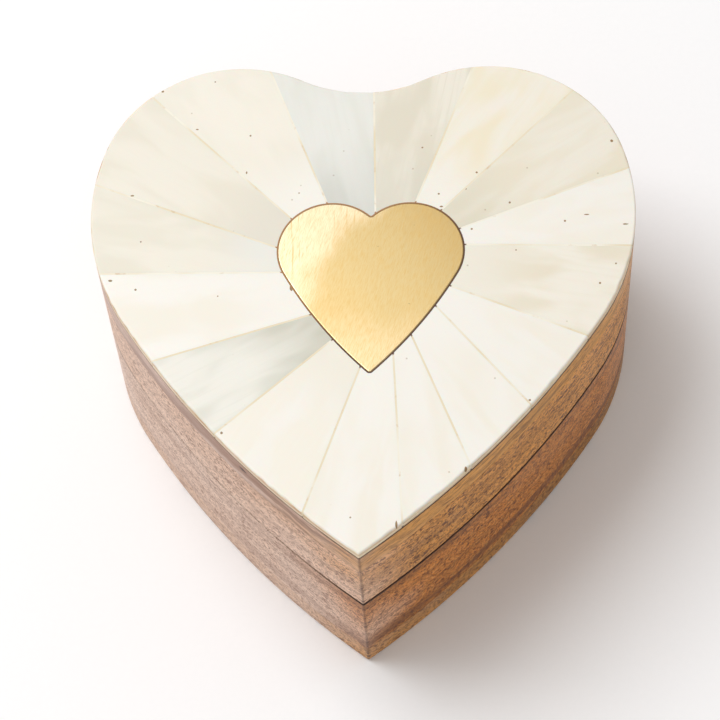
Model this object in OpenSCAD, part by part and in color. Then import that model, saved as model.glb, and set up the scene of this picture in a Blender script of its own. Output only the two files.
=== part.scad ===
// Heart-shaped trinket box: a wooden box with a hinged lid. The lid is faced
// with sixteen wedge-shaped bone tiles around a small brass heart.
// Units are millimetres. +Z is up and the tip of the heart points along -Y.
// The origin is on the underside, at the middle of the heart's width and depth.

/* [Outline] */
// Width of the box across its two lobes
box_w = 100; // [84:1:120]
// Depth of the box from the tip to the top of the lobes
box_d = 100; // [84:1:120]
// Radius of the top of each lobe
lobe_r = 26; // [21:0.5:31]
// Radius of the cheek, where a lobe turns down the side
cheek_r = 42; // [34:0.5:46]
// Angle above level at which the lobe becomes the cheek, in degrees
cheek_angle = 18; // [12:1:24]
// Radius of the long side that runs down to the tip
side_r = 175; // [130:5:300]
// Radius of the hollow between the lobes
cleft_r = 25; // [18:1:34]

/* [Box] */
// Thickness of the board that closes the bottom
base_t = 6; // [3:0.5:9]
// Height of the wooden ring that forms the wall of the body
body_h = 21.2; // [15:0.1:35]
// Thickness of the wooden wall
wall = 8; // [6:0.5:11]
// Thickness of the felt laid on the floor
lining_t = 1.2; // [0.8:0.1:2]
// Clearance between the felt and the wall
lining_gap = 0.3; // [0.2:0.1:1]

/* [Lid] */
// Gap between the two rims when the lid is shut
seam_gap = 0.4; // [0.3:0.1:0.8]
// Height of the wooden ring that forms the side of the lid
lid_h = 14.4; // [10:0.1:25]
// Thickness of the board that closes the top of the lid
lid_panel_t = 6; // [3:0.5:9]

/* [Inlay] */
// Thickness of the glue under the bone and the brass
glue_t = 0.2; // [0.1:0.1:0.5]
// Thickness of the bone tiles
bone_t = 1.8; // [1.2:0.1:3]
// Width of the filled joint between two tiles
joint_gap = 0.3; // [0.2:0.05:0.6]
// Depth of the filler below the faces of the tiles
filler_dip = 0.1; // [0.05:0.05:0.2]
// Height of the brass heart above the faces of the tiles
brass_proud = 0.1; // [0:0.05:0.2]
// Width of the brass heart
brass_w = 33.8; // [28:0.2:42]
// Depth of the brass heart
brass_d = 34.9; // [29:0.1:43]
// Radius of the lobes of the brass heart, as a share of its width
brass_lobe = 0.29; // [0.26:0.01:0.3]
// Radius of the sides of the brass heart, as a share of its width
brass_side = 2.45; // [1.8:0.05:5]
// Radius at the bottom of the brass heart's cleft
brass_cleft_r = 0.6; // [0.5:0.1:2]
// Filled groove around the brass heart
groove = 0.25; // [0.1:0.05:0.4]
// Middle of the brass heart, a little off the centre line
brass_pos = [1.6, 2.6]; // [-3:0.1:3]
// Height, towards the cleft, of the tile joints' hub above the brass heart's middle
hub_rise = 2.2; // [0:0.1:3]
// Turn of each hand-cut joint from its even spacing, in degrees
joint_turn = [-1.5, 1, 2.5, 1, -0.5, -1, -0.5, -5, -0.5, 3, 3.5, -3, -4.5, 0, 0.5, 0]; // [-6:0.5:6]
// Sideways shift of each joint from the hub, in hundredths of the brass width
joint_shift = [6, -3, -7, 1, 9, 20, 11, 15, 7, 10, 13, 15, 12, -3, 2, 5]; // [-24:1:24]

/* [Hinges] */
// Length of a hinge along its pin
leaf_w = 16; // [13:0.5:19]
// Thickness of a hinge leaf
leaf_t = 0.8; // [0.6:0.1:1.2]
// Wood left between the end of a leaf and the inside of the wall
leaf_margin = 2; // [1:0.5:3]
// Clearance between a leaf and the sides of its recess
recess_gap = 0.1; // [0.05:0.05:0.3]
// Outer radius of the hinge knuckles
knuckle_r = 1.5; // [1.3:0.1:2]
// Radius of the hinge pin
pin_r = 0.7; // [0.5:0.05:0.8]
// Clearance around the pin in the knuckle that turns
pin_gap = 0.05; // [0.02:0.01:0.08]
// Length of the middle knuckle
mid_knuckle = 5.7; // [4:0.1:7]
// Clearance between neighbouring knuckles, and between a knuckle and a leaf
knuckle_gap = 0.15; // [0.1:0.05:0.2]
// Clearance between the knuckles and the back of the box
back_gap = 0.2; // [0.2:0.05:0.6]

/* [Screws] */
// Radius of the screw heads
head_r = 1.2; // [1:0.1:1.4]
// Depth of the countersunk screw heads
head_t = 0.6; // [0.4:0.1:0.8]
// Radius of the screw shanks
shank_r = 0.6; // [0.5:0.05:0.7]
// Length of the straight part of a screw
shank_len = 4; // [3:0.5:7]
// Length of the pointed end of a screw
point_len = 1.2; // [0.8:0.1:2]

/* [Hidden] */
$fn = 48;
// Longest straight step along a curved outline
facet_len = 1.6;
tile_count = len(joint_turn);
rim_z = base_t + body_h;
lid_z = rim_z + seam_gap;
panel_z = lid_z + lid_h;
inlay_z = panel_z + lid_panel_t;
bone_z = inlay_z + glue_t;
axis_z = rim_z + seam_gap / 2;
back_y = box_d / 2;
axis_y = back_y + back_gap + knuckle_r;
hinge_x = lobe_centre(box_heart()).x;
leaf_front = back_y - wall + leaf_margin;
leaf_back = axis_y - knuckle_r - knuckle_gap;
screw_y = (leaf_front + back_y) / 2;
screw_x = leaf_w / 4;
hub = brass_pos + [0, hub_rise];
brass_lobe_r = brass_lobe * brass_w;
joint_start = 0.32 * min(brass_w, brass_d);
joint_end = box_w + box_d;
// Clearance by which a cut runs past the face that it opens
cut = 1;
bone_shade = [
    "lightgray", "antiquewhite", "cornsilk", "wheat", "ivory", "oldlace", "ivory", "ivory",
    "ivory", "oldlace", "ivory", "gainsboro", "ivory", "linen", "antiquewhite", "cornsilk"
];
TILES = [for (i = [1:tile_count]) str("bone_tile_", i < 10 ? "0" : "", i)];

// ---- Heart outline -------------------------------------------------------
// A heart is four tangent arcs a side: cleft, lobe, cheek and long side.
// It is described by [width, depth, lobe, cheek, cheek angle, side, cleft].

function box_heart() = [box_w, box_d, lobe_r, cheek_r, cheek_angle, side_r, cleft_r];
function brass_heart_form() =
    [brass_w, brass_d, brass_lobe_r, brass_lobe_r, 0, brass_side * brass_w, brass_cleft_r];

function polar(r, a) = [r * cos(a), r * sin(a)];
function bearing(from, to) = atan2(to.y - from.y, to.x - from.x);

function cheek_centre(h) = lobe_centre(h) - polar(h[3] - h[2], h[4]);
function lobe_centre(h) = [h[0] / 2 - h[3] + (h[3] - h[2]) * cos(h[4]), h[1] / 2 - h[2]];
function cleft_centre(h) =
    let (c = lobe_centre(h))
    [0, c.y + sqrt(pow(h[2] + h[6], 2) - pow(c.x, 2))];

// The long side touches the cheek from outside and ends at the tip
function side_centre(h) =
    let (
        cheek = cheek_centre(h),
        tip = [0, -h[1] / 2],
        span = norm(tip - cheek),
        from_cheek = h[5] - h[3],
        along = (pow(from_cheek, 2) - pow(h[5], 2) + pow(span, 2)) / (2 * span),
        across = sqrt(pow(from_cheek, 2) - pow(along, 2)),
        dir = (tip - cheek) / span
    )
    cheek + along * dir + across * [dir.y, -dir.x];

// Points along an arc from angle a up to, but not including, angle b
function arc(c, r, a, b) =
    let (n = max(2, ceil(abs(b - a) * PI / 180 * r / facet_len)))
    [for (i = [0:n - 1]) c + polar(r, a + (b - a) * i / n)];

function half_heart(h, inset) =
    let (
        cleft = cleft_centre(h),
        lobe = lobe_centre(h),
        cheek = cheek_centre(h),
        side = side_centre(h),
        tip = [0, side.y - sqrt(pow(h[5] - inset, 2) - pow(side.x, 2))],
        side_angle = bearing(side, cheek)
    )
    concat(
        arc(cleft, h[6] + inset, -90, bearing(cleft, lobe)),
        arc(lobe, h[2] - inset, bearing(lobe, cleft), h[4]),
        arc(cheek, h[3] - inset, h[4], side_angle),
        arc(side, h[5] - inset, side_angle, bearing(side, tip)),
        [tip]
    );

module heart(h, inset = 0) {
    half = half_heart(h, inset);
    last = len(half) - 1;
    polygon(concat(half, [for (i = [last - 1:-1:1]) [-half[i].x, half[i].y]]));
}

module box_outline(inset = 0) {
    heart(box_heart(), inset);
}

module brass_outline(grow = 0) {
    translate(brass_pos) heart(brass_heart_form(), -grow);
}

// ---- Hinges and screws ---------------------------------------------------
// These are drawn about the seam, with the pin's axis at z = 0 and x along it.

module at_hinge(side) {
    translate([side * hinge_x, 0, axis_z]) children();
}

module along_x(x0, x1, r) {
    translate([x0, axis_y, 0]) rotate([0, 90, 0]) cylinder(r = r, h = x1 - x0);
}

// A countersunk wood screw, head uppermost, with the top of its head at z = 0
module screw() {
    translate([0, 0, -head_t]) cylinder(r1 = shank_r, r2 = head_r, h = head_t);
    translate([0, 0, -head_t - shank_len]) cylinder(r = shank_r, h = shank_len);
    translate([0, 0, -head_t - shank_len - point_len]) cylinder(r1 = 0, r2 = shank_r, h = point_len);
}

module screw_pair() {
    for (x = [-screw_x, screw_x]) translate([x, screw_y, -seam_gap / 2]) screw();
}

// The lower leaf: a plate in the rim and the knuckles from x0 to x1 in each span
module leaf(spans, bore_r) {
    difference() {
        union() {
            translate([-leaf_w / 2, leaf_front, -seam_gap / 2 - leaf_t])
                cube([leaf_w, leaf_back - leaf_front, leaf_t]);
            for (s = spans) {
                translate([s[0], leaf_front, -seam_gap / 2 - leaf_t])
                    cube([s[1] - s[0], axis_y - leaf_front, leaf_t]);
                along_x(s[0], s[1], knuckle_r);
            }
        }
        along_x(-leaf_w / 2 - cut, leaf_w / 2 + cut, bore_r);
        screw_pair();
    }
}

module lower_leaf() {
    inner = mid_knuckle / 2 + knuckle_gap;
    color("goldenrod") leaf([[-leaf_w / 2, -inner], [inner, leaf_w / 2]], pin_r);
}

module upper_leaf() {
    color("goldenrod") mirror([0, 0, 1])
        leaf([[-mid_knuckle / 2, mid_knuckle / 2]], pin_r + pin_gap);
}

module hinge_pin() {
    color("darkgoldenrod") along_x(-leaf_w / 2, leaf_w / 2, pin_r);
}

module leaf_recess() {
    translate([-leaf_w / 2 - recess_gap, leaf_front - recess_gap, -seam_gap / 2 - leaf_t])
        cube([leaf_w + 2 * recess_gap, wall + cut, leaf_t + cut]);
    screw_pair();
}

module screws() {
    color("khaki") screw_pair();
}

// ---- Body ----------------------------------------------------------------

module base_panel() {
    color("peru") linear_extrude(base_t) box_outline();
}

module wood_ring(h) {
    linear_extrude(h) difference() {
        box_outline();
        box_outline(wall);
    }
}

module body_ring() {
    color("sienna") difference() {
        translate([0, 0, base_t]) wood_ring(body_h);
        for (side = [-1, 1]) at_hinge(side) leaf_recess();
    }
}

module floor_lining() {
    color("tan") translate([0, 0, base_t]) linear_extrude(lining_t) box_outline(wall + lining_gap);
}

// ---- Lid -----------------------------------------------------------------

module lid_ring() {
    color("sienna") difference() {
        translate([0, 0, lid_z]) wood_ring(lid_h);
        for (side = [-1, 1]) at_hinge(side) mirror([0, 0, 1]) leaf_recess();
    }
}

module lid_panel() {
    color("saddlebrown") translate([0, 0, panel_z]) linear_extrude(lid_panel_t) box_outline();
}

// Joint k is a straight cut that starts under the brass heart. Joint 0 lies to
// the left of the cleft and the others follow it clockwise.
function joint_angle(k) = 90 + 360 / tile_count * (1 - k) + joint_turn[k % tile_count];
function joint_point(k, reach, side) =
    let (
        a = joint_angle(k),
        shift = joint_shift[k % tile_count] / 100 * brass_w + side * joint_gap / 2
    )
    hub + polar(reach, a) + polar(shift, a + 90);

module tile_outline(i) {
    intersection() {
        polygon([
            hub,
            joint_point(i, joint_start, -1),
            joint_point(i, joint_end, -1),
            joint_point(i + 1, joint_end, 1),
            joint_point(i + 1, joint_start, 1)
        ]);
        difference() {
            box_outline();
            brass_outline(groove);
        }
    }
}

module bone_tile(i) {
    color(bone_shade[i]) translate([0, 0, bone_z]) linear_extrude(bone_t) tile_outline(i);
}

module brass_heart() {
    color("gold") translate([0, 0, bone_z]) linear_extrude(bone_t + brass_proud) brass_outline();
}

// Glue bed with a thin rib in every joint and in the groove around the brass
module inlay_filler() {
    color("burlywood") translate([0, 0, inlay_z]) difference() {
        linear_extrude(glue_t + bone_t - filler_dip) box_outline();
        translate([0, 0, glue_t]) linear_extrude(bone_t) {
            for (i = [0:tile_count - 1]) tile_outline(i);
            brass_outline();
        }
    }
}

base_panel();
body_ring();
floor_lining();
at_hinge(-1) lower_leaf();  // hinge_left_lower_leaf
at_hinge(1) lower_leaf();  // hinge_right_lower_leaf
at_hinge(-1) hinge_pin();  // hinge_left_pin
at_hinge(1) hinge_pin();  // hinge_right_pin
for (side = [-1, 1]) at_hinge(side) screws();  // lower_screws
lid_ring();
lid_panel();
inlay_filler();
brass_heart();
at_hinge(-1) upper_leaf();  // hinge_left_upper_leaf
at_hinge(1) upper_leaf();  // hinge_right_upper_leaf
for (side = [-1, 1]) at_hinge(side) mirror([0, 0, 1]) screws();  // upper_screws
for (i = [0:tile_count - 1]) bone_tile(i);
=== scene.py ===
"""Heart-shaped trinket box: wood, bone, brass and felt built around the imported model."""
import math
import random

import bmesh
import bpy
from mathutils import Matrix, Vector, geometry, kdtree, noise


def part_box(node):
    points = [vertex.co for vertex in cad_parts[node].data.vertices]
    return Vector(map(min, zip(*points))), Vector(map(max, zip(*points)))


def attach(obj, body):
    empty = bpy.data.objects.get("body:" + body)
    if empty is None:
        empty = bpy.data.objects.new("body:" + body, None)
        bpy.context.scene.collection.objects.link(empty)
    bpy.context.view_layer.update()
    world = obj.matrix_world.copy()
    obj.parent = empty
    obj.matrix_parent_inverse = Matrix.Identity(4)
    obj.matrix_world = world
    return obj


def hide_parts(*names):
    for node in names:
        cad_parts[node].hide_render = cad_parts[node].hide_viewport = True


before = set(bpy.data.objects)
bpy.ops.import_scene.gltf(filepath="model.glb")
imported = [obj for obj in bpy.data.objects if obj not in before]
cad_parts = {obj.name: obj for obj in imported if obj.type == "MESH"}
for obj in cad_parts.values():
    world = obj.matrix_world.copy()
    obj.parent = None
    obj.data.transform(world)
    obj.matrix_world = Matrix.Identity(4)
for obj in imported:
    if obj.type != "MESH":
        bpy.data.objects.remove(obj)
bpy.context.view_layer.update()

MM = 0.001

WALL = 8 * MM            # thickness of the wooden walls
LEAF_T = 0.8 * MM        # thickness of a hinge leaf
GROOVE = 0.25 * MM       # width of the groove round the brass
EDGE_R = 0.4 * MM        # radius of the bone's rim
CUT_STEP = 0.9 * MM      # distance between two points of a hand-cut joint
CUT_DRIFT = 0.06 * MM    # the most that a hand-cut joint strays into its tile
PAST = 0.1 * MM          # how far a cutter reaches past what it cuts
TILES = 16


# ---- Heart outlines --------------------------------------------------------

def polar(radius, angle):
    return Vector((radius * math.cos(angle), radius * math.sin(angle)))


def bearing(start, end):
    return math.atan2(end.y - start.y, end.x - start.x)


def arc(centre, radius, start, end, steps):
    """Points from angle start up to, but not including, angle end."""
    return [centre + polar(radius, start + (end - start) * i / steps) for i in range(steps)]


class Heart:
    """A heart of tangent arcs: cleft, lobe, cheek, long side and a softened tip."""

    SHARP = 0.04 * MM    # the least radius of the tip

    def __init__(self, node, lobe, cheek, cheek_angle, side, cleft, tip):
        """A heart that fills a CAD node's box. Sizes are the arcs' radii."""
        low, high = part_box(node)
        self.centre = Vector(((low.x + high.x) / 2, (low.y + high.y) / 2))
        half_w, half_d = (high.x - low.x) / 2, (high.y - low.y) / 2
        self.radii = (lobe, cheek, side, cleft, tip)
        self.cheek_angle = cheek_angle
        self.lobe = Vector((half_w - cheek + (cheek - lobe) * math.cos(cheek_angle), half_d - lobe))
        self.cheek = self.lobe - polar(cheek - lobe, cheek_angle)
        rise = math.sqrt((lobe + cleft) ** 2 - self.lobe.x ** 2)
        self.cleft = Vector((0, self.lobe.y + rise))
        to_tip = Vector((0, -half_d)) - self.cheek
        along = ((side - cheek) ** 2 - side ** 2 + to_tip.length_squared) / (2 * to_tip.length)
        across = math.sqrt((side - cheek) ** 2 - along ** 2)
        ahead = to_tip.normalized()
        self.side = self.cheek + along * ahead + across * Vector((ahead.y, -ahead.x))

    def loop(self, inset=0.0):
        """The outline, clockwise from the cleft, moved inwards by inset.

        Its points keep their order and number, whatever the inset.
        """
        lobe, cheek, side, cleft, tip = self.radii
        tip = max(tip - inset, self.SHARP)
        reach = side - inset - tip
        tip_centre = Vector((0, self.side.y - math.sqrt(reach ** 2 - self.side.x ** 2)))
        turn = bearing(self.side, self.cheek)
        end = bearing(self.side, tip_centre)
        half = (
            arc(self.cleft, cleft + inset, -math.pi / 2, bearing(self.cleft, self.lobe), 8)
            + arc(self.lobe, lobe - inset, bearing(self.lobe, self.cleft), self.cheek_angle, 40)
            + arc(self.cheek, cheek - inset, self.cheek_angle, turn, 22)
            + arc(self.side, side - inset, turn, end, 46)
            + arc(tip_centre, tip, end, -math.pi / 2, 4)
            + [tip_centre + polar(tip, -math.pi / 2)]
        )
        whole = half + [Vector((-p.x, p.y)) for p in half[-2:0:-1]]
        return [self.centre + p for p in whole]


def sides(loop):
    """Each side of a closed loop, as its two ends."""
    return zip(loop, loop[1:] + loop[:1])


def at(loop, index):
    """The point at a fractional index along a closed loop."""
    i = math.floor(index)
    return loop[i % len(loop)].lerp(loop[(i + 1) % len(loop)], index - i)


def crossing(loop, start, ahead):
    """The fractional index where a ray first crosses a closed loop."""
    found = []
    for i, (a, b) in enumerate(sides(loop)):
        edge = b - a
        det = ahead.x * -edge.y + ahead.y * edge.x
        if abs(det) < 1e-15:
            continue
        gap = a - start
        t = (gap.x * -edge.y + gap.y * edge.x) / det
        s = (ahead.x * gap.y - ahead.y * gap.x) / det
        if t > 0 and 0 <= s < 1:
            found.append((t, i + s))
    return min(found)[1]


def inside(loop, point):
    """Whether a point lies within a closed loop."""
    odd = False
    for a, b in sides(loop):
        if (a.y > point.y) != (b.y > point.y):
            odd ^= point.x < (b.x - a.x) * (point.y - a.y) / (b.y - a.y) + a.x
    return odd


BOX = Heart(
    "base_panel",
    lobe=26 * MM,
    cheek=42 * MM,
    cheek_angle=math.radians(18),
    side=175 * MM,
    cleft=25 * MM,
    tip=0.35 * MM,
)
BRASS = Heart(
    "brass_heart",
    lobe=9.8 * MM,
    cheek=9.8 * MM,
    cheek_angle=0,
    side=82.8 * MM,
    cleft=0.6 * MM,
    tip=0.5 * MM,
)
HALF_RUN = sum((b - a).length for a, b in sides(BOX.loop())) / 2    # from the cleft to the tip


# ---- Mesh building -----------------------------------------------------------

def add_object(name, bm, material, sharp=35):
    """A piece from a bmesh. Edges of more than sharp degrees stay hard."""
    bmesh.ops.recalc_face_normals(bm, faces=bm.faces)
    mesh = bpy.data.meshes.new(name)
    bm.to_mesh(mesh)
    bm.free()
    mesh.shade_smooth()
    mesh.set_sharp_from_angle(angle=math.radians(sharp))
    obj = bpy.data.objects.new(name, mesh)
    bpy.context.scene.collection.objects.link(obj)
    if material:
        mesh.materials.append(material)
    return obj


def place(obj, body, slot, *nodes):
    """The piece rides on body and stands for CAD nodes. Its wide faces are shaded flat."""
    obj.modifiers.new("normals", "WEIGHTED_NORMAL").keep_sharp = True
    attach(obj, body)
    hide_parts(*nodes)
    return obj


def bridge(bm, rings, closed):
    """Faces between each ring and the next, and from the last to the first if closed."""
    count = len(rings[0])
    for low, high in zip(rings, rings[1:] + rings[:1] if closed else rings[1:]):
        for i in range(count):
            j = (i + 1) % count
            bm.faces.new((low[i], low[j], high[j], high[i]))


def stacked(levels, closed=False):
    """A solid through loops of 3-D points, capped at both ends unless its section is closed."""
    bm = bmesh.new()
    rings = [[bm.verts.new(p) for p in level] for level in levels]
    bridge(bm, rings, closed)
    if not closed:
        bm.faces.new(rings[0])
        bm.faces.new(rings[-1])
    return bm


def swept(heart, profile, closed=False):
    """A solid that follows a heart: profile is its section, as (inset, z)."""
    return stacked([[(p.x, p.y, z) for p in heart.loop(inset)] for inset, z in profile], closed)


def board(profile):
    """A board across the whole box. A loop inside the wall parts its edges from its middle."""
    middle = WALL + 0.5 * MM
    return swept(BOX, [(middle, profile[0][1])] + profile + [(middle, profile[-1][1])])


def edge_section(z_low, z_high, r_low, r_high, steps=6, inset=0.0):
    """The section of an edge from its underside to its top, with both corners rounded."""
    quarter = [math.pi / 2 * i / steps for i in range(steps + 1)]
    low = [(inset + r_low * (1 - math.sin(a)), z_low + r_low * (1 - math.cos(a))) for a in quarter]
    high = [(inset + r_high * (1 - math.cos(a)), z_high - r_high * (1 - math.sin(a))) for a in quarter]
    return low + high


def ring_section(z_low, z_high, wall, r_low, r_high):
    """The closed section of a wall, with its four corners rounded."""
    outer = edge_section(z_low, z_high, r_low, r_high, steps=4)
    return outer + [(wall - inset, z) for inset, z in reversed(outer)]


def carve(obj, *cutters):
    """Cuts solids out of a piece and leaves plain mesh behind."""
    for cutter in cutters:
        cut = obj.modifiers.new("cut", "BOOLEAN")
        cut.operation = "DIFFERENCE"
        cut.solver = "EXACT"
        cut.object = cutter
        bpy.context.view_layer.update()
        solid = bpy.data.meshes.new_from_object(obj.evaluated_get(bpy.context.evaluated_depsgraph_get()))
        obj.modifiers.clear()
        obj.data = solid
        bpy.data.objects.remove(cutter)
    obj.data.shade_smooth()
    obj.data.set_sharp_from_angle(angle=math.radians(35))


def slab(low, high):
    """A block between two corners, for cutting."""
    bm = bmesh.new()
    bmesh.ops.create_cube(bm, size=1)
    size = Vector(high) - Vector(low)
    for v in bm.verts:
        v.co = Vector(low) + Vector((a * (b + 0.5) for a, b in zip(size, v.co)))
    return add_object("cutter", bm, None)


def mark_grain(obj):
    """Gives each point of a wooden piece its depth in the wood, and its place in the grain.

    That place is how far it lies along the outline from the cleft, across the box and over the section.
    """
    parts = 12
    samples, run = [], 0.0
    for a, b in sides(BOX.loop()):
        for i in range(parts):
            samples.append((a.lerp(b, i / parts), run + (b - a).length * i / parts))
        run += (b - a).length
    tree = kdtree.KDTree(len(samples))
    for i, (point, _) in enumerate(samples):
        tree.insert(point.to_3d(), i)
    tree.balance()
    depth = obj.data.attributes.new("depth", "FLOAT", "POINT")
    grain = obj.data.attributes.new("grain", "FLOAT_VECTOR", "POINT")
    for vertex, deep, spot in zip(obj.data.vertices, depth.data, grain.data):
        _, i, gap = tree.find(vertex.co.xy.to_3d())
        reach = min(samples[i][1], run - samples[i][1])
        deep.value = gap
        spot.vector = (reach, 0.1 * vertex.co.x, vertex.co.z + gap)


# ---- Materials ---------------------------------------------------------------

def srgb(red, green, blue):
    """A display colour from 0 to 255, as the shader's linear colour."""
    shown = (red, green, blue)
    return tuple(((c / 255 + 0.055) / 1.055) ** 2.4 if c > 10 else c / 3295 for c in shown) + (1,)


class Paint:
    """A material's nodes, one short call each. Patterns move with the piece."""

    def __init__(self, name, **settings):
        self.material = bpy.data.materials.new(name)
        self.material.use_nodes = True
        self.tree = self.material.node_tree
        self.shader = self.tree.nodes["Principled BSDF"]
        self.set(self.shader, settings)

    def set(self, node, inputs):
        """Gives each input of a node its value, or links it if the value is another node's output."""
        for name, value in inputs.items():
            socket = node.inputs[name]
            if isinstance(value, bpy.types.NodeSocket):
                self.tree.links.new(value, socket)
            else:
                socket.default_value = value

    def node(self, kind, inputs, output=0, **settings):
        """One output of a new shader node."""
        made = self.tree.nodes.new("ShaderNode" + kind)
        for name, value in settings.items():
            setattr(made, name, value)
        self.set(made, inputs)
        return made.outputs[output]

    def here(self):
        """Where a point lies on its piece, in metres."""
        return self.node("TexCoord", {}, output="Object")

    def from_brass(self):
        """Where a point lies from the middle of the brass heart, in metres."""
        return self.vector("SUBTRACT", self.here(), BRASS.centre.to_3d())

    def attribute(self, name, output="Fac"):
        return self.node("Attribute", {}, output=output, attribute_name=name)

    def coords(self, scale, offset=(0, 0, 0), turn=(0, 0, 0), source=None):
        """Texture coordinates, with scale in cells per metre along each axis."""
        source = source or self.here()
        turned = self.node("Mapping", {"Vector": source, "Rotation": turn, "Location": offset})
        return self.node("Mapping", {"Vector": turned, "Scale": scale})

    def noise(self, where, detail, rough, distort=0.0):
        shape = {"Detail": detail, "Roughness": rough, "Distortion": distort}
        return self.node("TexNoise", {"Vector": where, "Scale": 1.0, **shape})

    def cells(self, where):
        """The distance to the nearest of scattered points, in cells."""
        return self.node("TexVoronoi", {"Vector": where, "Scale": 1.0}, output="Distance")

    def step(self, value, low, high, to_low=0.0, to_high=1.0):
        """A smooth change from to_low to to_high as value goes from low to high."""
        inputs = {"Value": value, "From Min": low, "From Max": high, "To Min": to_low, "To Max": to_high}
        return self.node("MapRange", inputs, interpolation_type="SMOOTHSTEP")

    def maths(self, operation, a, b):
        return self.node("Math", {0: a, 1: b}, operation=operation)

    def vector(self, operation, a, b, output="Vector"):
        return self.node("VectorMath", {0: a, 1: b}, output=output, operation=operation)

    def towards(self, where, direction):
        """How far a place lies in a direction, in metres."""
        return self.vector("DOT_PRODUCT", where, direction, "Value")

    def axis(self, where, name):
        return self.node("SeparateXYZ", {"Vector": where}, output=name)

    def spots(self, where, spots):
        """A mask of ragged spots. Each is a place in mm and the reach in mm along each axis."""
        rag = self.noise(self.coords((1500, 1500, 1500), source=where), 2, 0.6)
        mask = None
        for middle, reach in spots:
            gap = self.vector("SUBTRACT", where, tuple(v * MM for v in middle))
            scaled = self.vector("MULTIPLY", gap, tuple(1 / (v * MM) for v in reach))
            size = self.maths("ADD", self.vector("LENGTH", scaled, (0, 0, 0), "Value"), rag)
            spot = self.step(size, 1.3, 1.6, 1, 0)
            mask = self.maths("MAXIMUM", mask, spot) if mask else spot
        return mask

    def mix(self, share, a, b):
        return self.node("Mix", {0: share, 6: a, 7: b}, output=2, data_type="RGBA")

    def tint(self, colour, tone, value, low, high, share=1.0):
        """The colour, turned to tone by up to share as value goes from low to high."""
        return self.mix(self.step(value, low, high, 0, share), colour, tone)

    def bump(self, height, distance, strength):
        return self.node("Bump", {"Height": height, "Distance": distance, "Strength": strength})

    def finish(self, **inputs):
        self.set(self.shader, inputs)
        return self.material


def painted_side_shade(paint, where, ragged):
    """How far right a point lies, and the share of the right side's tone that it takes. That tone is
    painted shade, and the left side's tone is painted light.

    At the rear the share draws to one value, so that the two tones run into one between them.
    """
    side = paint.maths("ADD", paint.axis(where, "X"), paint.step(ragged, 0.3, 0.7, -9 * MM, 9 * MM))
    share = paint.step(side, -20 * MM, 16 * MM)
    rear = paint.step(paint.axis(where, "Y"), 18 * MM, 40 * MM, 0, 0.75)
    evened = paint.maths("MULTIPLY", rear, paint.maths("SUBTRACT", 0.42, share))
    return side, paint.maths("ADD", share, evened)


def wood_grain(paint, colour, tones, grain, offset, cell, contrast, streaks):
    """The colour with the wood's pores and streaks in it, then three of their patterns.

    tones are the pale one between the pores and the dark one in them.
    """
    pale_and_lit, dark = tones
    warp = paint.noise(paint.coords((160, 160, 160), offset, source=grain), 2, 0.5)
    lift = paint.node("CombineXYZ", {"Z": paint.maths("MULTIPLY", warp, 3 * MM)})
    lifted = paint.vector("ADD", grain, lift)
    pores = paint.noise(paint.coords(cell, offset, source=lifted), 2, 0.6, 0.6)
    fine = paint.noise(paint.coords(tuple(2.3 * c for c in cell), offset, source=lifted), 2, 0.6)
    lines = paint.noise(paint.coords((45, 300, 1500), offset, source=lifted), 3, 0.65)
    layers = paint.noise(paint.coords((14, 200, 520), offset, (0, 0.04, 0), lifted), 3, 0.6, 0.4)
    bands = paint.noise(paint.coords((9, 120, 150), offset, (0, 0.06, 0), lifted), 2, 0.5, 0.4)
    colour = paint.tint(colour, pale_and_lit, pores, 0.48, 0.36, 0.7 * contrast)
    colour = paint.tint(colour, dark, layers, 0.47, 0.66, streaks)
    colour = paint.tint(colour, dark, bands, 0.5, 0.68, streaks)
    colour = paint.tint(colour, dark, lines, 0.5, 0.68, 0.45 * contrast)
    colour = paint.tint(colour, dark, fine, 0.5, 0.64, 0.85 * contrast)
    colour = paint.tint(colour, dark, pores, 0.52, 0.62, contrast)
    return colour, pores, fine, layers


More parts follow.
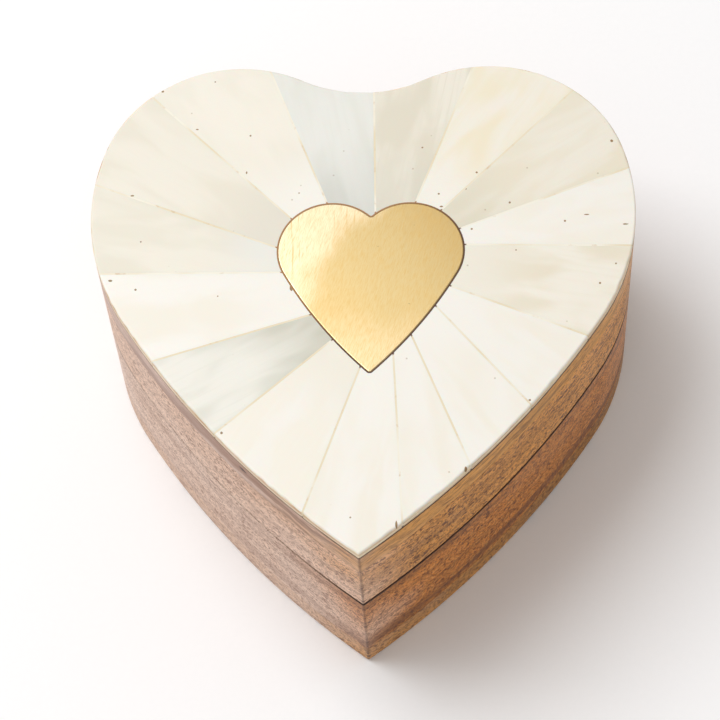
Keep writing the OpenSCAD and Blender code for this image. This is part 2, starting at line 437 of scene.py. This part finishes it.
def wood(name, tones, offset, cell, contrast, streaks, seam_shades=(), holes=(), stain=None):
    """Wood with its grain round the box: short pores, dark streaks along it, and a left side painted paler
    as lit against a right side painted darker and warmer as shaded.

    tones are the left, painted paler as lit, the right, painted darker and warmer as shaded, and the
    inside.
    offset moves the patterns, and cell is the number of pores to the metre along, across and over the
    grain. contrast and streaks are the strengths of the pores and the streaks. The seam list gives
    (clean z, dark z) for edges darkened with painted shade at the seam, stronger towards the shaded
    right, and with wax and dirt; holes are spots, and stain is the height of a dark band on the right.
    """
    # The left and right tones are lit and shaded copies of one wood: painted light on the left, painted
    # shade on the right.
    left, right, inner = (srgb(*tone) for tone in tones)
    paint = Paint(name, **{"Specular IOR Level": 0.3})
    where = paint.here()
    depth = paint.attribute("depth")
    along = paint.attribute("grain", "Vector")
    grain = paint.mix(paint.step(depth, WALL, WALL + 0.4 * MM), along, where)
    slow = paint.noise(paint.coords((28, 40, 60), offset), 2, 0.5)
    side, right_shade_share = painted_side_shade(paint, where, slow)
    inside_share = paint.step(depth, 1 * MM, 5 * MM)
    colour = paint.mix(inside_share, paint.mix(right_shade_share, left, right), inner)
    # The pale and dark grain tones are paler on the left as painted light and darker on the right as
    # painted shade.
    pale_and_lit = paint.mix(right_shade_share, srgb(240, 210, 188), srgb(226, 166, 92))
    dark = paint.mix(right_shade_share, srgb(156, 112, 90), srgb(84, 42, 16))
    colour, pores, fine, layers = wood_grain(
        paint, colour, (pale_and_lit, dark), grain, offset, cell, contrast, streaks
    )
    # Seam darkening grows from the lit left to the shaded right: painted shade at the seam, along with wax
    # and dirt.
    wear = paint.step(side, -20 * MM, 10 * MM, 0.2, 0.9)
    shallow = paint.step(depth, 0.4 * MM, 1.2 * MM, 1, 0)
    wear_and_shade = paint.maths("MULTIPLY", wear, shallow)
    tip = paint.step(paint.axis(along, "X"), HALF_RUN - 0.45 * MM, HALF_RUN - 0.05 * MM, 0, 0.45)
    colour = paint.mix(paint.maths("MULTIPLY", tip, shallow), colour, srgb(62, 36, 26))
    # Painted shade along each seam's outer edge, with wax and dirt there too.
    for clean, deep in seam_shades:
        shade_at_seam = paint.maths("MULTIPLY", paint.step(paint.axis(where, "Z"), clean, deep), wear_and_shade)
        colour = paint.mix(shade_at_seam, colour, srgb(46, 24, 14))
    if holes:
        colour = paint.mix(paint.spots(where, holes), colour, srgb(70, 40, 34))
    if stain:
        away = paint.maths("ABSOLUTE", paint.maths("SUBTRACT", paint.axis(where, "Z"), stain), 0)
        ragged = paint.maths("ADD", away, paint.step(layers, 0.3, 0.7, -0.8 * MM, 0.8 * MM))
        band = paint.maths("MULTIPLY", paint.step(ragged, 0.4 * MM, 1.7 * MM, 0.6, 0), right_shade_share)
        colour = paint.mix(band, colour, srgb(84, 46, 32))
    height = paint.maths("SUBTRACT", paint.maths("MULTIPLY", fine, 0.5), paint.step(pores, 0.52, 0.66))
    gloss = paint.step(slow, 0.3, 0.7, 0.36, 0.5)
    normal = paint.bump(height, 0.04 * MM, 0.5)
    return paint.finish(**{"Base Color": colour, "Roughness": gloss, "Normal": normal})


def bone(name, tone, patch, inner, offset, streaks, specks):
    """Polished bone: soft patches and fibres along the tile, a tint beside the brass and brown pores.

    Below its rim the cut edge shows tan strands. offset moves the patterns and streaks is the strength of
    the fibres. Each speck is its x, its y and its radius in mm, and how many times longer it is along y.
    """
    paint = Paint(name, **{"Subsurface Weight": 0.12, "Subsurface Scale": 1.0 * MM})
    where = paint.here()
    grain = paint.attribute("grain", "Vector")
    slow = paint.noise(paint.coords((60, 170, 100), offset, source=grain), 2, 0.5, 0.4)
    fibres = paint.noise(paint.coords((60, 1300, 900), offset, source=grain), 3, 0.6)
    colour = paint.tint(tone, patch, slow, 0.38, 0.66)
    colour = paint.tint(colour, patch, fibres, 0.45, 0.75, streaks)
    near_brass = paint.step(paint.axis(grain, "X"), 1 * MM, 16 * MM, 1, 0)
    tinted = paint.maths("MULTIPLY", near_brass, paint.step(slow, 0.25, 0.7, 0.5, 1))
    colour = paint.mix(tinted, colour, inner)
    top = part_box("bone_tile_01")[1].z
    strands = paint.noise(paint.coords((50, 50, 1900), offset), 3, 0.6, 0.4)
    rind = paint.tint(srgb(240, 222, 188), srgb(200, 154, 104), strands, 0.42, 0.66)
    below_rim = paint.step(paint.axis(where, "Z"), top - 0.4 * MM, top - 0.08 * MM, 0.95, 0)
    colour = paint.mix(below_rim, colour, rind)
    scattered = paint.step(paint.cells(paint.coords((240, 240, 240), offset)), 0.03, 0.055, 1, 0)
    pit = paint.maths("MULTIPLY", scattered, 0.4)
    if specks:
        height = 50    # mm, at the top of the tiles
        marks = [((x, y, height), (r, r * longer, 1)) for x, y, r, longer in specks]
        pit = paint.maths("MAXIMUM", pit, paint.spots(where, marks))
    colour = paint.mix(pit, colour, srgb(150, 122, 84))
    relief = paint.maths("SUBTRACT", paint.maths("MULTIPLY", fibres, 0.3), pit)
    shine = paint.step(slow, 0.3, 0.7, 0.34, 0.46)
    normal = paint.bump(relief, 0.02 * MM, 0.35)
    return paint.finish(**{"Base Color": colour, "Roughness": shine, "Normal": normal})


def heart_tone(paint, colour, wear_and_shade, pale_and_lit, stain):
    """The brass heart's tone: a painted highlight at its left lobe and its tip, painted shade towards its
    right, with long scratches.
    """
    where = paint.from_brass()
    ragged = paint.step(stain, 0.3, 0.7, -4 * MM, 4 * MM)
    # Painted highlight: the pale reflection over the left lobe, and lower down towards the tip.
    rising = paint.towards(where, (-0.75, 0.66, 0))
    highlight_share = paint.step(paint.maths("ADD", rising, ragged), 5 * MM, 12 * MM)
    falling = paint.maths("ADD", paint.towards(where, (0, -1, 0)), ragged)
    tone = paint.mix(highlight_share, colour, pale_and_lit)
    tone = paint.tint(tone, pale_and_lit, falling, 3 * MM, 15 * MM, 0.4)
    # Painted shade: darker towards the right.
    right = paint.towards(where, (0.8, 0.6, 0))
    tone = paint.tint(tone, wear_and_shade, paint.maths("ADD", right, ragged), 5 * MM, 20 * MM, 0.35)
    long = paint.noise(paint.coords((2600, 40, 40), (0.9, 0.3, 0)), 2, 0.6)
    scratch = paint.maths("MULTIPLY", paint.step(long, 0.6, 0.7, 0, 0.6), highlight_share)
    return paint.mix(scratch, tone, wear_and_shade)


def brushed_brass(name, colour, wear_and_shade, rough, brush, pale_and_lit=None):
    """Brass with short fine lines at the angle brush, warm stains and a few dark specks.

    The pale tone, the heart's painted highlight, is for the heart alone.
    """
    paint = Paint(name, Metallic=1.0)
    lines = paint.noise(paint.coords((7000, 600, 600), turn=(0, 0, brush)), 3, 0.65)
    wide = paint.noise(paint.coords((3400, 420, 420), turn=(0, 0, brush)), 2, 0.6, 0.3)
    stain = paint.noise(paint.coords((60, 40, 40), (3.1, 1.7, 0)), 3, 0.55)
    grit = paint.noise(paint.coords((2600, 2600, 2600)), 2, 0.7)
    tone = heart_tone(paint, colour, wear_and_shade, pale_and_lit, stain) if pale_and_lit else colour
    tone = paint.tint(tone, wear_and_shade, stain, 0.45, 0.75, 0.4)
    tone = paint.tint(tone, wear_and_shade, wide, 0.42, 0.75, 0.32)
    tone = paint.tint(tone, wear_and_shade, lines, 0.42, 0.68, 0.4)
    speck = paint.step(paint.cells(paint.coords((230, 230, 230), (0.4, 0.2, 0))), 0.02, 0.05, 1, 0)
    tone = paint.mix(paint.maths("MULTIPLY", speck, paint.step(grit, 0.45, 0.6)), tone, srgb(90, 62, 34))
    gloss = paint.step(lines, 0.3, 0.8, rough, rough + 0.14)
    gloss = paint.maths("ADD", gloss, paint.step(stain, 0.4, 0.7, 0, 0.06))
    height = paint.maths("ADD", lines, paint.maths("MULTIPLY", wide, 0.8))
    normal = paint.bump(height, 0.006 * MM, 0.6)
    return paint.finish(**{"Base Color": tone, "Roughness": gloss, "Normal": normal})


def filler(name):
    """Glue and bone dust in the joints, dark where it fills the groove and where it shows at the edge under
    the bone.
    The groove's fill is painted darker towards the lower right as shade, and the edge is glue with a
    painted shadow line.
    """
    paint = Paint(name, Roughness=0.5)
    groove = paint.attribute("groove")
    slow = paint.noise(paint.coords((70, 70, 70), (0.2, 0.6, 0)), 2, 0.5)
    blotch = paint.noise(paint.coords((420, 420, 420)), 3, 0.6)
    colour = paint.tint(srgb(241, 235, 219), srgb(230, 215, 184), slow, 0.4, 0.62)
    colour = paint.tint(colour, srgb(204, 166, 124), blotch, 0.56, 0.74, 0.6)
    # Painted shade: the groove's dark fill grows darker still towards the lower right.
    lower_right = paint.towards(paint.from_brass(), (0.7, -0.7, 0))
    groove_fill_and_shade = paint.tint(srgb(168, 122, 76), srgb(84, 50, 26), lower_right, -11 * MM, 6 * MM)
    colour = paint.tint(colour, groove_fill_and_shade, groove, 0.5, 0.9)
    grit = paint.noise(paint.coords((2400, 2400, 2400)), 2, 0.6)
    return paint.finish(**{"Base Color": colour, "Normal": paint.bump(grit, 0.01 * MM, 0.3)})


def felt(name, light, dark):
    """Wool felt: a tangle of fine fibres with a soft edge to the light."""
    sheen = {"Sheen Weight": 0.5, "Sheen Roughness": 0.5, "Specular IOR Level": 0.2}
    paint = Paint(name, Roughness=0.95, **sheen)
    tangle = paint.noise(paint.coords((2200, 2200, 2200)), 4, 0.7, 1.4)
    clumps = paint.noise(paint.coords((330, 330, 330)), 3, 0.6)
    height = paint.maths("ADD", tangle, paint.maths("MULTIPLY", clumps, 0.6))
    colour = paint.tint(dark, light, height, 0.6, 1.05)
    return paint.finish(**{"Base Color": colour, "Normal": paint.bump(height, 0.12 * MM, 0.9)})


def plain_floor(name):
    """Matt white paper with a slight tooth."""
    paint = Paint(name, Roughness=0.7)
    paper = paint.noise(paint.coords((900, 900, 900)), 3, 0.6)
    colour = paint.mix(paper, srgb(250, 250, 250), srgb(253, 253, 253))
    return paint.finish(**{"Base Color": colour, "Normal": paint.bump(paper, 0.02 * MM, 0.2)})


# ---- Wooden box --------------------------------------------------------------

def recess_cutters(leaves, z_floor, z_open):
    """Blocks that open a rim for its hinge leaves, from z_floor in the wood to z_open in the air."""
    play = 0.1 * MM
    z_low, z_high = sorted((z_floor, z_open))
    cutters = []
    for leaf in leaves:
        low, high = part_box(leaf)
        cutters.append(slab((low.x - play, low.y - play, z_low), (high.x + play, high.y, z_high)))
    return cutters


def make_base_panel(material):
    low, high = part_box("base_panel")
    base = add_object("base_board", board(edge_section(low.z, high.z, 0.8 * MM, 0.12 * MM)), material)
    mark_grain(base)
    place(base, "body", "wood_base", "base_panel")


def make_body_ring(material):
    low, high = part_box("body_ring")
    bm = swept(BOX, ring_section(low.z, high.z, WALL, 0.1 * MM, 0.2 * MM), closed=True)
    ring = add_object("body_wall", bm, material)
    leaves = ("hinge_left_lower_leaf", "hinge_right_lower_leaf")
    carve(ring, *recess_cutters(leaves, high.z - LEAF_T, high.z + 1 * MM))
    mark_grain(ring)
    place(ring, "body", "wood_ring", "body_ring")


def make_lid_ring(material):
    """The wall of the lid. Its rim slopes, so the seam is narrower on the left than on the right."""
    rise = 0.3 * MM    # at the far right, with as much of a drop at the far left
    low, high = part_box("lid_ring")
    bm = swept(BOX, ring_section(low.z, high.z, WALL, 0.2 * MM, 0.1 * MM), closed=True)
    for vert in bm.verts:
        if vert.co.z < low.z + 1 * MM:
            vert.co.z += rise * vert.co.x / high.x
    ring = add_object("lid_wall", bm, material)
    leaves = ("hinge_left_upper_leaf", "hinge_right_upper_leaf")
    carve(ring, *recess_cutters(leaves, low.z + LEAF_T, low.z - 1 * MM))
    mark_grain(ring)
    place(ring, "lid", "wood_ring", "lid_ring")


def make_lid_panel(material):
    low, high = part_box("lid_panel")
    panel = add_object("lid_board", board(edge_section(low.z, high.z, 0.12 * MM, 0.15 * MM)), material)
    mark_grain(panel)
    place(panel, "lid", "wood_panel", "lid_panel")


def make_felt(material):
    """A felt pad cut to the floor, a little uneven, with its edge pressed soft."""
    low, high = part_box("floor_lining")
    edge = WALL + 0.35 * MM
    loop = BOX.loop(edge + 0.5 * MM)
    inner = BOX.loop(edge + 1.2 * MM)
    step = 1.4 * MM
    random.seed(5)
    points = list(loop)
    count = len(loop)
    nx, ny = int((high.x - low.x) / step), int((high.y - low.y) / step)
    for i in range(nx + 1):
        for j in range(ny + 1):
            p = Vector((low.x + i * step, low.y + j * step))
            p += Vector((random.uniform(-0.3, 0.3), random.uniform(-0.3, 0.3))) * step
            if inside(inner, p):
                points.append(p)
    edges = [(i, (i + 1) % count) for i in range(count)]
    flat, _, faces, *_ = geometry.delaunay_2d_cdt(points, edges, [], 1, 1e-7)
    top = high.z - 0.15 * MM
    uneven = 0.12 * MM
    bm = bmesh.new()
    verts = [
        bm.verts.new((p.x, p.y, top + uneven * noise.noise(Vector((p.x, p.y, 0)) * 260))) for p in flat
    ]
    for face in faces:
        bm.faces.new([verts[i] for i in face])
    section = [(edge + 0.15 * MM, top - 0.15 * MM), (edge, top - 0.5 * MM), (edge + 0.05 * MM, low.z)]
    rings = [verts[:count]]
    rings += [[bm.verts.new((p.x, p.y, z)) for p in BOX.loop(inset)] for inset, z in section]
    bridge(bm, rings, False)
    bm.faces.new(rings[-1])
    pad = place(add_object("floor_felt", bm, material, sharp=80), "body", "felt", "floor_lining")


# ---- Inlay -------------------------------------------------------------------

def tile_node(number):
    return f"bone_tile_{number:02d}"


def top_loop(node):
    """The outline of a CAD node's top face, in order."""
    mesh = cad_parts[node].data
    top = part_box(node)[1].z - 1e-6
    edges = set()
    for face in mesh.polygons:
        corners = [mesh.vertices[i].co for i in face.vertices]
        if min(c.z for c in corners) < top:
            continue
        keys = [(round(c.x, 6), round(c.y, 6)) for c in corners]
        for a, b in sides(keys):
            if (b, a) in edges:
                edges.remove((b, a))
            else:
                edges.add((a, b))
    following = dict(edges)
    start = min(following)
    loop = [start]
    while following[loop[-1]] != start:
        loop.append(following[loop[-1]])
    return [Vector(p) for p in loop]


def joints_of(node):
    """The tile's two straight cuts, each as its outer and its inner end.

    Going clockwise, the tile lies between the first and the second.
    """
    loop = top_loop(node)
    middle = sum(loop, Vector((0, 0))) / len(loop)
    cuts = sorted(sides(loop), key=lambda cut: (cut[0] - cut[1]).length)[-2:]
    ends = [sorted(cut, key=lambda p: -(p - BRASS.centre).length) for cut in cuts]
    return sorted(ends, key=lambda cut: (cut[0] - cut[1]).cross(middle - cut[1]))


def cut_points(outer, inner, into, seed):
    """Points down a hand-cut joint from its outer to its inner end, kept clear of both ends."""
    ahead = (inner - outer).normalized()
    length = (inner - outer).length
    first = 1.6 * EDGE_R
    count = max(2, round((length - first) / CUT_STEP))
    points = []
    for i in range(count):
        reach = first + (length - first) * i / count
        drift = 0.5 + 0.5 * noise.noise(Vector((reach * 300, seed, 0)))
        points.append(outer + ahead * reach + into * drift * CUT_DRIFT)
    return points


def worn_point(loop, chipped, index):
    """A point on an edge, eased towards its chipped line by the wear there."""
    point = at(loop, index)
    wear = 0.2 + 0.9 * noise.noise(point.to_3d() * 500) + 0.9 * noise.noise(point.to_3d() * 110)
    return point.lerp(at(chipped, index), min(1, max(0, wear)))


def tile_levels(number, levels):
    """A tile's outline at each level, the middles of its two cuts, and its edge along the brass.

    A level is (inset from the box's outline, z, wear). All outlines have the same number of points.
    """
    (outer_a, inner_a), (outer_b, inner_b) = joints_of(tile_node(number))
    groove = BRASS.loop(-GROOVE)
    mid_a, mid_b = (outer_a + inner_a) / 2, (outer_b + inner_b) / 2
    ahead_a, ahead_b = (outer_a - inner_a).normalized(), (outer_b - inner_b).normalized()
    into = (mid_b - mid_a).normalized()
    in_a, in_b = crossing(groove, mid_a, -ahead_a), crossing(groove, mid_b, -ahead_b)
    in_b += len(groove) if in_b < in_a else 0
    seed = number * 7.3
    cut_a = cut_points(outer_a, at(groove, in_a), into, seed)
    cut_b = cut_points(outer_b, at(groove, in_b), -into, seed + 3)
    inner_steps, outer_steps = max(3, round(in_b - in_a)), 36
    inner = [at(groove, in_b + (in_a - in_b) * i / inner_steps) for i in range(inner_steps + 1)]
    stack = []
    for inset, z, wear in levels:
        loop, chipped = BOX.loop(inset), BOX.loop(inset + wear)
        out_a, out_b = crossing(loop, mid_a, ahead_a), crossing(loop, mid_b, ahead_b)
        out_b += len(loop) if out_b < out_a else 0
        places = [out_a + (out_b - out_a) * i / outer_steps for i in range(outer_steps + 1)]
        outer = [worn_point(loop, chipped, index) for index in places]
        points = outer + cut_b + inner + cut_a[::-1]
        stack.append([(p.x, p.y, z) for p in points])
    return stack, mid_a, mid_b, inner


def make_tile(number, material, slot):
    """A wedge of bone with hand-cut sides and a worn rim. Its grain runs out from the brass."""
    node = tile_node(number)
    low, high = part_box(node)
    rim = edge_section(low.z, high.z, 0, EDGE_R)[7:]
    chip = 0.2 * MM
    levels = [(0.02 * MM, low.z, 0)] + [(inset, z, chip * (z > high.z - EDGE_R)) for inset, z in rim]
    stack, mid_a, mid_b, inner = tile_levels(number, levels)
    tile = add_object(f"bone_{number:02d}", stacked(stack), material, sharp=50)
    start = (inner[0] + inner[-1]) / 2
    ahead = ((mid_a + mid_b) / 2 - start).normalized()
    grain = tile.data.attributes.new("grain", "FLOAT_VECTOR", "POINT")
    for vertex, value in zip(tile.data.vertices, grain.data):
        reach = vertex.co.xy - start
        value.vector = (reach.dot(ahead), ahead.cross(reach), vertex.co.z)
    place(tile, "lid", slot, node)


def make_filler(material):
    """Glue bed with a rib in every joint, cut out by the tiles and the brass."""
    low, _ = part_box("inlay_filler")
    bone_low, bone_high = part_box("bone_tile_01")
    dip = 0.01 * MM
    section = edge_section(low.z, bone_high.z - dip, 0, EDGE_R, steps=8, inset=0.05 * MM)[8:]
    bed = add_object("inlay_glue", swept(BOX, section), material)
    past = 0.5 * MM
    cutter_levels = [(-past, bone_low.z, 0), (-past, bone_high.z + past, 0)]
    for number in range(1, TILES + 1):
        stack, *_ = tile_levels(number, cutter_levels)
        carve(bed, add_object("cutter", stacked(stack), None))
    carve(bed, add_object("cutter", swept(BRASS, [(0, bone_low.z), (0, bone_high.z + past)]), None))
    mesh = bmesh.new()
    mesh.from_mesh(bed.data)
    bmesh.ops.triangulate(mesh, faces=mesh.faces, ngon_method="BEAUTY")
    mesh.to_mesh(bed.data)
    mesh.free()
    # The bottom of the bed, where it shows under the bone's edge, is marked dark too. That is glue with a
    # painted shadow line.
    edge = BRASS.loop(-GROOVE * 1.2)
    mark = bed.data.attributes.new("groove", "FLOAT", "POINT")
    for vertex, value in zip(bed.data.vertices, mark.data):
        deep = vertex.co.z < bone_low.z + 0.01 * MM
        value.value = 1.0 if deep or inside(edge, vertex.co.xy) else 0.0
    place(bed, "lid", "filler", "inlay_filler")


def make_brass(material):
    low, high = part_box("brass_heart")
    bm = swept(BRASS, edge_section(low.z, high.z, 0.05 * MM, 0.22 * MM))
    place(add_object("brass_inlay", bm, material, sharp=50), "lid", "brass_sheet", "brass_heart")


# ---- Hinges ------------------------------------------------------------------

def eased_copy(node, name, material, radius):
    """A CAD node's own shape with its hard edges eased by radius."""
    bm = bmesh.new()
    bm.from_mesh(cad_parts[node].data)
    bmesh.ops.remove_doubles(bm, verts=bm.verts, dist=1e-6)
    bmesh.ops.dissolve_limit(bm, angle_limit=math.radians(1), verts=bm.verts, edges=bm.edges)
    hard = [e for e in bm.edges if len(e.link_faces) == 2 and e.calc_face_angle(0) > math.radians(40)]
    bmesh.ops.bevel(
        bm, geom=hard, offset=radius, segments=2, profile=0.5, affect="EDGES", clamp_overlap=True
    )
    return add_object(name, bm, material, sharp=60)


def slot_cutters(node, z_low, z_high):
    """Blocks that cut a slot across every screw head of a node, between two heights."""
    low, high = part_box(node)
    middle = (low.y + high.y) / 2
    apart = 2 * MM
    half = 0.155 * MM
    groups = []
    for x in sorted(vertex.co.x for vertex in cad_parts[node].data.vertices):
        if not groups or x - groups[-1][-1] > apart:
            groups.append([])
        groups[-1].append(x)
    return [
        slab((xs[0] - PAST, middle - half, z_low), (xs[-1] + PAST, middle + half, z_high)) for xs in groups
    ]


def drop_slivers(obj):
    """Takes out the slivers that cutting leaves where a cut meets a fine edge."""
    bm = bmesh.new()
    bm.from_mesh(obj.data)
    bmesh.ops.triangulate(bm, faces=bm.faces)
    bmesh.ops.dissolve_degenerate(bm, dist=3e-6, edges=bm.edges)
    bm.to_mesh(obj.data)
    bm.free()


def make_screws(node, name, body, slot_low, slot_high, material):
    """Four screws as one piece, their slots cut between two heights."""
    screws = eased_copy(node, name, material, 0.04 * MM)
    carve(screws, *slot_cutters(node, slot_low, slot_high))
    drop_slivers(screws)
    place(screws, body, "hinge_brass", node)


def make_hinges(leaf_material, pin_material, screw_material):
    for side in ("left", "right"):
        for half, body in (("lower", "body"), ("upper", "lid")):
            node = f"hinge_{side}_{half}_leaf"
            leaf = eased_copy(node, f"{side}_{half}_leaf", leaf_material, 0.08 * MM)
            place(leaf, body, "hinge_brass", node)
        node = f"hinge_{side}_pin"
        place(eased_copy(node, f"{side}_pin", pin_material, 0.15 * MM), "body", "hinge_brass", node)
    deep = 0.31 * MM
    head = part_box("lower_screws")[1].z
    make_screws("lower_screws", "body_screws", "body", head - deep, head + PAST, screw_material)
    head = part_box("upper_screws")[0].z
    make_screws("upper_screws", "lid_screws", "lid", head - PAST, head + deep, screw_material)


# ---- Scene -------------------------------------------------------------------

def add_camera():
    """A long lens above the tip of the heart, turned a little as the camera was held."""
    elevation, azimuth, roll = (math.radians(a) for a in (62.5, 4.8, -4.75))
    distance = 0.569
    aim = Vector((-2.3 * MM, 13.7 * MM, 0))
    level = math.cos(elevation)
    back = Vector((math.sin(azimuth) * level, -math.cos(azimuth) * level, math.sin(elevation)))
    right = Vector((math.cos(azimuth), math.sin(azimuth), 0))
    up = back.cross(right)
    turned_right = right * math.cos(roll) + up * math.sin(roll)
    turned_up = up * math.cos(roll) - right * math.sin(roll)
    camera = bpy.data.objects.new("camera", bpy.data.cameras.new("camera"))
    camera.data.lens = 143.7
    camera.data.clip_start = 0.01
    camera.matrix_world = Matrix.Translation(aim + back * distance) @ Matrix(
        (turned_right, turned_up, back)
    ).transposed().to_4x4()
    bpy.context.scene.collection.objects.link(camera)
    bpy.context.scene.camera = camera


def add_area(name, location, size, power, colour):
    """A square light turned to the origin. Power is in watts."""
    data = bpy.data.lights.new(name, "AREA")
    data.size, data.energy, data.color = size, power, colour
    light = bpy.data.objects.new(name, data)
    light.location = location
    light.rotation_euler = (-Vector(location)).to_track_quat("-Z", "Y").to_euler()
    bpy.context.scene.collection.objects.link(light)


def add_studio():
    """A pale floor under soft light from the upper left."""
    bm = bmesh.new()
    bmesh.ops.create_grid(bm, x_segments=8, y_segments=8, size=2.0)
    floor = add_object("floor", bm, plain_floor("floor_paper"))
    world = bpy.data.worlds.new("studio")
    world.use_nodes = True
    sky = world.node_tree.nodes["Background"].inputs
    sky["Color"].default_value = (1, 0.975, 0.945, 1)
    sky["Strength"].default_value = 0.52
    bpy.context.scene.world = world
    add_area("key", location=(-0.46, 0.22, 0.98), size=0.7, power=7.6, colour=(0.985, 1, 1.03))
    add_area("back_fill", location=(-0.30, 0.50, 0.95), size=0.5, power=0.3, colour=(1, 1, 1))
    bpy.context.scene.view_settings.view_transform = "Standard"


WHITE, CREAM, GREY = srgb(241, 237, 228), srgb(235, 229, 214), srgb(230, 229, 221)
BEIGE, YELLOW, WARM = srgb(230, 221, 200), srgb(237, 227, 201), srgb(239, 233, 219)

# Tone, patches, tint beside the brass, strength of the fibres, and specks for each tile.
# A speck is x and y in mm, its radius in mm and how many times longer it is along y.
BONE_LOOKS = (
    (GREY, srgb(224, 223, 213), srgb(208, 208, 199), 0.35, ()),
    (CREAM, srgb(222, 215, 196), srgb(216, 211, 194), 0.55, ((11, 32, 0.2, 1),)),
    (WARM, YELLOW, WHITE, 0.30, (
        (14, 22, 0.2, 1),
        (21, 26.5, 0.2, 1),
        (14.5, 19.3, 0.3, 0.6),
    )),
    (CREAM, BEIGE, srgb(220, 213, 192), 0.25, (
        (19, 23, 0.2, 1),
        (27, 20, 0.2, 1),
        (46, 33, 0.3, 1),
    )),
    (WHITE, WARM, WHITE, 0.15, (
        (20, 14.5, 0.2, 1),
        (41, 17.3, 0.5, 0.25),
        (37, 16, 0.2, 1),
        (48, 15.2, 0.5, 0.3),
    )),
    (WARM, BEIGE, CREAM, 0.20, (
        (46, 7, 0.2, 1),
        (43, 3, 0.2, 1),
        (28, 10, 0.15, 1),
    )),
    (WHITE, WARM, WHITE, 0.15, ((30, -20.5, 0.2, 1),)),
    (WHITE, WARM, WHITE, 0.15, ()),
    (WARM, WHITE, WHITE, 0.15, ((18.6, -33.9, 0.25, 2),)),
    (WHITE, WARM, WHITE, 0.20, (
        (6.5, -44.4, 0.2, 4),
        (-1.5, -43, 0.15, 1),
    )),
    (WARM, WHITE, CREAM, 0.20, ((-24.4, -26.5, 0.25, 1),)),
    (srgb(234, 231, 220), srgb(221, 219, 206), srgb(194, 191, 173), 0.35, ()),
    (WHITE, WARM, WHITE, 0.15, (
        (-45.7, 4.4, 0.4, 0.6),
        (-41, 2.5, 0.2, 1),
        (-26, 1, 0.15, 1),
        (-12.7, 2.5, 0.3, 2),
    )),
    (CREAM, srgb(229, 223, 206), GREY, 0.20, ((-40.5, 12.5, 0.15, 1),)),
    (CREAM, srgb(230, 223, 206), srgb(224, 218, 203), 0.20, ((-42.5, 22.3, 0.35, 0.5),)),
    (WARM, CREAM, WHITE, 0.20, (
        (-37.8, 45, 0.25, 1),
        (-35, 39, 0.15, 1),
        (-28, 47, 0.15, 1),
        (-21, 35, 0.2, 1),
        (-21.5, 27, 0.15, 2),
        (-11.7, 22.5, 0.15, 1),
        (-31, 36.5, 0.3, 0.5),
    )),
)
BONE_SLOTS = {CREAM: "bone_cream", WARM: "bone_cream", WHITE: "bone_white"}    # any other is bone_grey

# Holes in the lid's board: the middle and the reach along each axis, in mm.
LID_HOLES = (
    ((-23.3, -30.5, 46.6), (0.8, 0.8, 0.35)),
    ((-20.8, -32, 46.2), (1, 1, 0.45)),
    ((-15.5, -38.9, 45), (0.3, 0.3, 0.3)),
)


def build_wood():
    """The four wooden pieces. Tones are those of the left, painted as lit, the right, painted as shaded,
    and the inside.
    """
    make_base_panel(wood(
        "wood_base",
        tones=((226, 190, 162), (214, 148, 66), (190, 146, 104)),
        offset=(0.3, 0.1, 0),
        cell=(1000, 1500, 1700),
        contrast=0.8,
        streaks=0.3,
    ))
    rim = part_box("body_ring")[1].z
    make_body_ring(wood(
        "wood_body",
        tones=((241, 211, 190), (218, 134, 52), (196, 142, 98)),
        offset=(0, 0, 0),
        cell=(1200, 2000, 2000),
        contrast=0.85,
        streaks=0.35,
        seam_shades=((rim - 0.6 * MM, rim - 0.3 * MM),),
        stain=8.2 * MM,
    ))
    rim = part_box("lid_ring")[0].z
    make_lid_ring(wood(
        "wood_lid",
        tones=((241, 205, 180), (238, 162, 74), (200, 146, 104)),
        offset=(0.7, 0.4, 0),
        cell=(1000, 1500, 1700),
        contrast=0.85,
        streaks=0.3,
        seam_shades=((rim + 0.4 * MM, rim + 0.15 * MM),),
    ))
    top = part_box("lid_panel")[1].z
    make_lid_panel(wood(
        "wood_top",
        tones=((210, 180, 164), (228, 162, 80), (188, 140, 98)),
        offset=(0.5, 0.9, 0),
        cell=(300, 500, 2200),
        contrast=0.5,
        streaks=0.7,
        seam_shades=((top - 0.45 * MM, top - 0.15 * MM),),
        holes=LID_HOLES,
    ))


def build_inlay():
    """The bone tiles, the glue between them and the brass heart."""
    for number, (tone, patch, inner, streaks, specks) in enumerate(BONE_LOOKS, 1):
        offset = (number * 0.37, number * 0.11, 0)
        material = bone(f"bone_{number:02d}", tone, patch, inner, offset, streaks, specks)
        make_tile(number, material, BONE_SLOTS.get(tone, "bone_grey"))
    make_filler(filler("joint_filler"))
    # The third tone is the heart's painted highlight. The second is its worn brass and also its painted
    # shade towards the right.
    gold, wear_and_shade, pale_and_lit = srgb(213, 190, 138), srgb(204, 162, 86), srgb(244, 226, 190)
    make_brass(brushed_brass("heart_brass", gold, wear_and_shade, rough=0.3, brush=math.radians(16), pale_and_lit=pale_and_lit))


def build_hinges():
    """The leaves, pins and screws, each with its own brass."""
    make_hinges(
        brushed_brass("hinge_brass", srgb(214, 178, 104), srgb(168, 126, 62), rough=0.3, brush=math.pi / 2),
        brushed_brass("pin_brass", srgb(226, 190, 116), srgb(176, 132, 66), rough=0.24, brush=0.0),
        brushed_brass("screw_brass", srgb(186, 150, 92), srgb(132, 98, 54), rough=0.3, brush=0.0),
    )


add_camera()
add_studio()
build_wood()
make_felt(felt("wool_felt", light=srgb(126, 100, 82), dark=srgb(78, 60, 50)))
build_inlay()
build_hinges()
